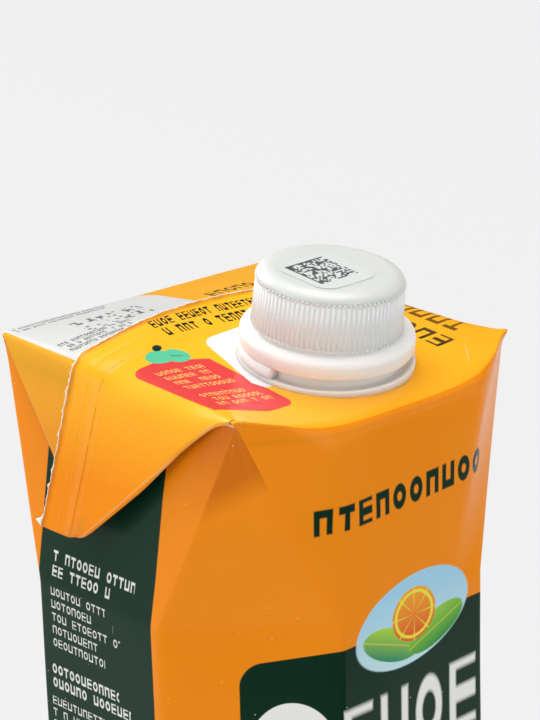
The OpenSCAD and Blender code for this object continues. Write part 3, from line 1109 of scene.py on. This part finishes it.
def topPrintAndShade():
    # badge, leaves, small marks, painted shade on the back slope and the pale panel behind the strip, in the blank's
    # own flat frame
    p = Print("topPrintAndShade")
    x, y, shade = p.x, p.y, p.shade
    level = shade.node("ShaderNodeSeparateXYZ", None, {0: p.place}, out=2) * 1000.0
    p.colour = shade.mixColour(((level - 178.0) / 20.0).clamped(), ink["orange"], ink["topOrange"])
    lid = p.on(10)
    cutLow = (x + 31.5) * -0.527 + (y + 23.4) * -0.85
    cutHigh = (x + 26.3) * 0.449 + (y + 1.2) * 0.893
    p.lay(cover(boxGap(x, y, -24.3, -14.8, 7.3, 13.4, 2.6).most(cutLow).most(cutHigh), 0.15) * lid, ink["red"])
    leafOne = cover(discGap(x, y, -23.5, -0.4, 2.6, 2.4), 0.15)
    leafTwo = cover(discGap(x, y, -20.8, -1.8, 2.3, 2.7), 0.15)
    p.lay(leafOne.most(leafTwo) * lid, ink["mint"])
    vein = cover(abs(y + 1.9 + (x + 20.7) * 0.9) - 0.16, 0.15) * cover(abs(x + 20.7) - 0.9, 0.2)
    stem = cover(discGap(x, y, -21.9, 2.2, 0.95, 0.75), 0.15)
    p.lay(stem.most(vein * 0.8) * lid, ink["green"])
    # painted shade on the top's back slope behind the strip
    p.lay(y.over(10.6) * lid * 0.4, rgba(0.62, 0.27, 0.03))
    pale = cover(boxGap(x, y, -17.3, 20.0, 18.0, 11.6, 5.0), 0.15) * x.over(-33.0)
    p.lay(pale.most(cover(boxGap(x, y, -28.0, 20.0, 5.4, 11.6, 0.3), 0.15)) * y.over(10.6) * lid, ink["silver"])
    slope = y + (x + 24.0) * 0.27
    shapes = marks(shade, [
        (x, slope, -28.6, -5.3, 0.92, 2.45, 0.72, 4, 10.4, 1.0, 0.20, 0.14, 0.3),
        (x, slope, -28.9, -17.0, 0.92, 2.2, 0.72, 3, 10.6, 6.0, 0.20, 0.14, 0.2),
        (x, y + (x + 18.0) * 0.077, -18.4, 9.1, 1.22, 2.5, 1.02, 1, 34.0, 3.0, 0.30, 0.1, 0.0),
        (x, y + (x + 18.0) * 0.1, -17.6, 6.35, 1.45, 2.5, 1.15, 1, 30.0, 8.0, 0.30, 0.1, 0.0),
        (x, y, 2.5, 20.9, 2.3, 5.0, 1.6, 1, 22.0, 15.0, 0.20, 0.2, 0.0),
        (y, -x, -23.6, -26.7, 4.2, 5.6, 2.2, 1, 40.0, 21.0, 0.25, -1.0, 0.0),
        (y, -x, -26.2, -19.6, 4.2, 5.6, 2.2, 1, 40.0, 27.0, 0.25, -1.0, 0.0),
        (x, y, -31.6, 18.6, 0.74, 1.75, 0.62, 3, 17.0, 11.0, 0.30, 0.12, 0.25),
        (x, y, -32.0, 30.8, 0.6, 1.2, 0.36, 2, 22.0, 31.0, 0.30, 0.1, 0.2),
    ]) * lid
    onBadge = y.under(-1.0) * x.under(-10.0)
    onPale = y.over(10.0) * x.under(0.9)
    p.lay(shapes * onBadge * 0.85, ink["cream"])
    p.lay(shapes * onPale * 0.9, ink["charcoal"])
    p.lay(shapes * (1 - onBadge) * (1 - onPale), ink["green"])
    joint = shade.node("ShaderNodeCombineXYZ", None, {0: (x / 0.66).floor(), 1: (y / 0.8).floor()})
    speck = shade.node("ShaderNodeTexWhiteNoise", {"noise_dimensions": "2D"}, {"Vector": joint})
    dots = cover(boxGap(x, y, -15.5, 22.0, 8.0, 3.3, 0.2), 0.2) * speck.over(0.62) * (x / 2.9).fract().under(0.7)
    p.lay(dots * (abs(y - 22.0) - 0.45).over(0.0) * lid * 0.8, ink["charcoal"])

    # broken crease line beside the seal, painted shade and a painted highlight along the rolled ear edge, painted shade
    # on the top's right, on the ear folds behind the strip, under the corner pinch, under the torn edge and in the
    # strip's grooves, bare board under the ears
    wander = shade.node("ShaderNodeTexNoise", None, {"Vector": p.place, "Scale": 260.0, "Detail": 3.0})
    crease = cover(abs(y - 2.75 + (wander - 0.5) * 0.5) - 0.07, 0.12) * wander.over(0.44) * lid
    p.lay(crease * (abs(x) - 27.0).over(0.0) * 0.6, rgba(0.28, 0.06, 0.006))
    fromEdge = (35.2 - abs(x)) * 0.688 + (y + 25.8) * 0.726
    low = ((abs(x) - 38.0) / 14.0).clamped()
    # painted shade band inside the lower part of the ear's rolled front edge
    p.lay(cover(abs(fromEdge - 1.7) - 0.9, 2.2) * low * cover(-y - 0.5, 3.0) * lid * 0.34, rgba(0.50, 0.20, 0.045))
    # painted shade on the top towards its right corner
    p.lay(((x - 20.0) / 14.0).clamped() * cover(x - 40.0, 2.0) * cover(y - 9.0, 2.0) * lid * 0.4, rgba(0.70, 0.25, 0.002))
    # painted shade along the back of both ear folds
    p.lay(cover(abs(abs(x) - 37.5) - 1.5, 5.0) * y.over(10.5) * lid * 0.4, rgba(0.50, 0.25, 0.002))
    across = (x - 22.0) * 0.763 - (y + 31.2) * 0.646
    p.lay(cover(abs(across) - 0.04, 0.16) * cover(abs(x - 22.0) - 2.2, 1.0) * lid * 0.5, ink["paper"])
    # painted highlight on the rolled front edge of the ears
    rolledEdgeHighlight = cover(abs(fromEdge - 0.2) - 0.1, 0.35) * cover(35.0 - abs(x), 2.0) * lid
    p.lay(rolledEdgeHighlight * 0.34, rgba(1.0, 0.66, 0.36))
    # painted shadow under the pinched front corner
    p.lay(cover(discGap(x + y * 0.3, y, -42.2, -28.9, 1.1, 0.28), 0.2) * 0.8, rgba(0.25, 0.05, 0.003))
    # painted shade under the curled torn edge of the strip
    curl = cover(abs(y - 9.35) - 0.6, 0.8) * (wander * 1.5).clamped() * lid
    p.lay(curl * 0.75, rgba(0.50, 0.12, 0.004))
    # painted shade in the strip's two grooves
    grooveShade = cover(abs(y - 5.5) - 0.05, 0.5).most(cover(abs(y - 8.3) - 0.05, 0.5)) * cover(24.0 - abs(x), 6.0) * lid
    p.lay(grooveShade * 0.14, rgba(0.45, 0.10, 0.006))
    p.lay(p.on(11), ink["white"])
    arc = ((x + 8.0) * (x + 8.0) + (y + 12.0) * (y + 12.0)).sqrt()
    ripples = (arc * 2.1).sin() * cover(abs(arc - 20.0) - 3.0, 1.5) * cover(x + 13.0, 3.0) * lid
    return p.finish(ripples * 0.05)


def paperMaterial():
    shade = Shade("tornFibre")
    place = shade.node("ShaderNodeTexCoord", None, None, out=3)
    fibre = shade.node("ShaderNodeTexNoise", None, {"Vector": place, "Scale": 1400.0, "Detail": 3.0})
    colour = shade.mixColour(fibre, rgba(0.62, 0.52, 0.40), rgba(0.92, 0.90, 0.86))
    bump = shade.node("ShaderNodeBump", None, {"Strength": 0.6, "Distance": 0.0002, "Height": fibre})
    shade.surface(Base_Color=colour, Roughness=0.9, Normal=bump)
    return shade.material


def plasticMaterial(name, tint, roughness):
    shade = Shade(name)
    place = shade.node("ShaderNodeTexCoord", None, None, out=3)
    cloud = shade.node("ShaderNodeTexNoise", None, {"Vector": place, "Scale": 120.0, "Detail": 2.0})
    grit = shade.node("ShaderNodeTexNoise", None, {"Vector": place, "Scale": 2200.0, "Detail": 2.0})
    darker = rgba(tint[0] * 0.95, tint[1] * 0.95, tint[2] * 0.94)
    colour = shade.mixColour(cloud, rgba(*tint), darker)
    bump = shade.node("ShaderNodeBump", None, {"Strength": 0.25, "Distance": 0.00005, "Height": grit})
    shade.surface(
        Base_Color=colour, Roughness=roughness + cloud * 0.08, Normal=bump,
        Subsurface_Weight=0.45, Subsurface_Radius=(0.0024, 0.0018, 0.0015), Subsurface_Scale=1.0, Coat_Weight=0.0,
    )
    return shade.material


def stickerMaterial():
    shade = Shade("codeFilm")
    uv = shade.node("ShaderNodeUVMap", {"uv_map": "blank"})
    x = shade.node("ShaderNodeSeparateXYZ", None, {0: uv}, out=0) * 1000.0
    y = shade.node("ShaderNodeSeparateXYZ", None, {0: uv}, out=1) * 1000.0
    module = 9.1 / 22
    gridX = ((x + 5.1) / module).floor()
    gridY = ((y + 3.85) / module).floor()
    cell = shade.node("ShaderNodeCombineXYZ", None, {0: gridX, 1: gridY})
    chance = shade.node("ShaderNodeTexWhiteNoise", {"noise_dimensions": "2D"}, {"Vector": cell})
    inside = gridX.over(-0.5) * gridX.under(21.5) * gridY.over(-0.5) * gridY.under(21.5)
    border = gridX.under(0.5).most(gridY.over(20.5))
    mark = chance.over(0.5).most(border) * inside
    colour = shade.mixColour(mark * 0.93, rgba(0.66, 0.675, 0.655), rgba(0.045, 0.05, 0.055))
    shade.surface(Base_Color=colour, Roughness=0.3 + chance * 0.02, Coat_Weight=0.1)
    return shade.material


# ---------- building

def ready(obj, slot, *nodes):
    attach(obj, "root")
    if nodes:
        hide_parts(*nodes)


boardMaterials = [topPrintAndShade(), frontPrintAndShade(), sidePrintAndShade(), backPrint()]
packObject = buildPack(boardMaterials)
ready(packObject, "board", "carton")
print("pack body:", len(packObject.data.polygons), "faces")

ready(buildBase(boardMaterials[2]), "board")
print("underside done")

sealed, torn = buildStrip(boardMaterials[0], paperMaterial())
ready(sealed, "board")
ready(torn, "board")
print("ridge strip done")

whitePlastic = plasticMaterial("mouldedWhite", (0.85, 0.825, 0.80), 0.38)
capPlastic = plasticMaterial("capWhite", (0.88, 0.88, 0.86), 0.34)
# painted shade: a greyer copy of the cap plastic for the cap's face and shoulder
capFaceShade = plasticMaterial("capFaceShade", (0.65, 0.665, 0.64), 0.30)
ready(buildFoot(whitePlastic), "spout", "spout_base")
ready(buildRing(whitePlastic), "ring", "tamper_ring")
ready(buildCap(capPlastic), "cap", "cap")
ready(buildRibs(capPlastic), "cap")
ready(buildSticker(stickerMaterial()), "label", "code_label")
print("spout and cap done")


# ---------- studio

studio = {
    "floorSize": 8.0,
    "floorGlow": 0.857,
    "floorTint": 0.45,
    "shadowReach": (0.13, 0.24),
    "fill": 0.057,
    "paperEdge": ((-4.0, 0.597), (4.0, -1.067)),
    "lights": [
        # name, place, target, size, power
        ("overhead", (0, 0, 1.25), (0, 0, 0.15), 1.0, 14.2),
        ("left", (-1.2, 0.1, 0.45), (0, 0, 0.15), 0.9, 6.6),
        ("backLeft", (-0.85, 0.95, 0.6), (0, 0, 0.15), 0.9, 1.5),
        ("back", (0.1, 1.3, 0.7), (0, 0, 0.15), 0.9, 14.0),
        ("frontRight", (0.85, -0.9, 0.45), (0, 0, 0.15), 0.9, 2.1),
        ("front", (0.05, -1.3, 0.45), (0, 0, 0.15), 0.9, 4.6),
    ],
}


def floorMaterial():
    # lit like paper close to the pack, an even glow further out
    shade = Shade("paleSweep")
    place = shade.node("ShaderNodeTexCoord", None, None, out=3)
    x = shade.node("ShaderNodeSeparateXYZ", None, {0: place}, out=0)
    y = shade.node("ShaderNodeSeparateXYZ", None, {0: place}, out=1)
    near, far = studio["shadowReach"]
    lit = ((far - (x * x + y * y).sqrt()) / (far - near)).clamped()
    tone = studio["floorTint"]
    colour = shade.mixColour(lit, rgba(0.02, 0.02, 0.02), rgba(tone, tone, tone))
    far = studio["floorGlow"]
    near = far - tone * 1.15
    glow = shade.mixColour(lit, rgba(far, far, far), rgba(near, near, near))
    shade.surface(Base_Color=colour, Roughness=0.9, Emission_Color=glow, Emission_Strength=1.0, Specular_IOR_Level=0.0)
    return shade.material


def aim(obj, place, target):
    obj.location = place
    obj.rotation_euler = (Vector(target) - Vector(place)).to_track_quat("-Z", "Y").to_euler()


# two sheets that look alike; the board's gloss mirrors only the one that ends in front of the pack
half = studio["floorSize"] / 2
(edgeLeft, edgeRight), sheet = studio["paperEdge"], floorMaterial()
for name, outline, z in (
    ("paperSheet", [edgeLeft, edgeRight, (half, half), (-half, half)], 0.0),
    ("floor", [(-half, -half), (half, -half), (half, half), (-half, half)], -0.0004),
):
    floorMesh = bpy.data.meshes.new(name)
    floorMesh.from_pydata([(x, y, z) for x, y in outline], [], [(0, 1, 2, 3)])
    floor = makeObject(name, floorMesh, sheet)
    floor.visible_glossy = z == 0

for name, place, target, size, power in studio["lights"]:
    lamp = bpy.data.lights.new(name, "AREA")
    lamp.shape = "SQUARE"
    lamp.size = size
    lamp.energy = power
    holder = bpy.data.objects.new(name, lamp)
    bpy.context.scene.collection.objects.link(holder)
    aim(holder, place, target)

world = bpy.data.worlds.new("studioAir")
world.use_nodes = True
air = world.node_tree
backdrop = air.nodes["Background"]
backdrop.inputs[0].default_value = rgba(1, 1, 1)
seen = air.nodes.new("ShaderNodeLightPath")
level = air.nodes.new("ShaderNodeMapRange")
level.inputs["To Min"].default_value = studio["fill"]
level.inputs["To Max"].default_value = studio["floorGlow"]
air.links.new(seen.outputs["Is Camera Ray"], level.inputs["Value"])
air.links.new(level.outputs[0], backdrop.inputs[1])
bpy.context.scene.world = world
bpy.context.scene.view_settings.view_transform = "Standard"

camera = {
    "place": (-0.3005, -0.3251, 0.3379),
    "azimuth": math.radians(-43.04),
    "elevation": math.radians(18.395),
    "roll": math.radians(-1.606),
    "lens": 128.81,
}


def cameraMatrix():
    a, e, roll = camera["azimuth"], camera["elevation"], camera["roll"]
    back = Vector((math.sin(a) * math.cos(e), -math.cos(a) * math.cos(e), math.sin(e)))
    right = (-back).cross(Vector((0, 0, 1))).normalized()
    up = right.cross(-back)
    acrossAxis = right * math.cos(roll) + up * math.sin(roll)
    upAxis = up * math.cos(roll) - right * math.sin(roll)
    turn = Matrix((acrossAxis, upAxis, back)).transposed()
    return Matrix.Translation(camera["place"]) @ turn.to_4x4()


eye = bpy.data.cameras.new("studioCamera")
eye.sensor_fit = "AUTO"
eye.sensor_width = 36.0
eye.lens = camera["lens"]
eye.clip_start = 0.01
eye.clip_end = 50.0
eyeObject = bpy.data.objects.new("studioCamera", eye)
bpy.context.scene.collection.objects.link(eyeObject)
eyeObject.matrix_world = cameraMatrix()
bpy.context.scene.camera = eyeObject
print("studio ready")

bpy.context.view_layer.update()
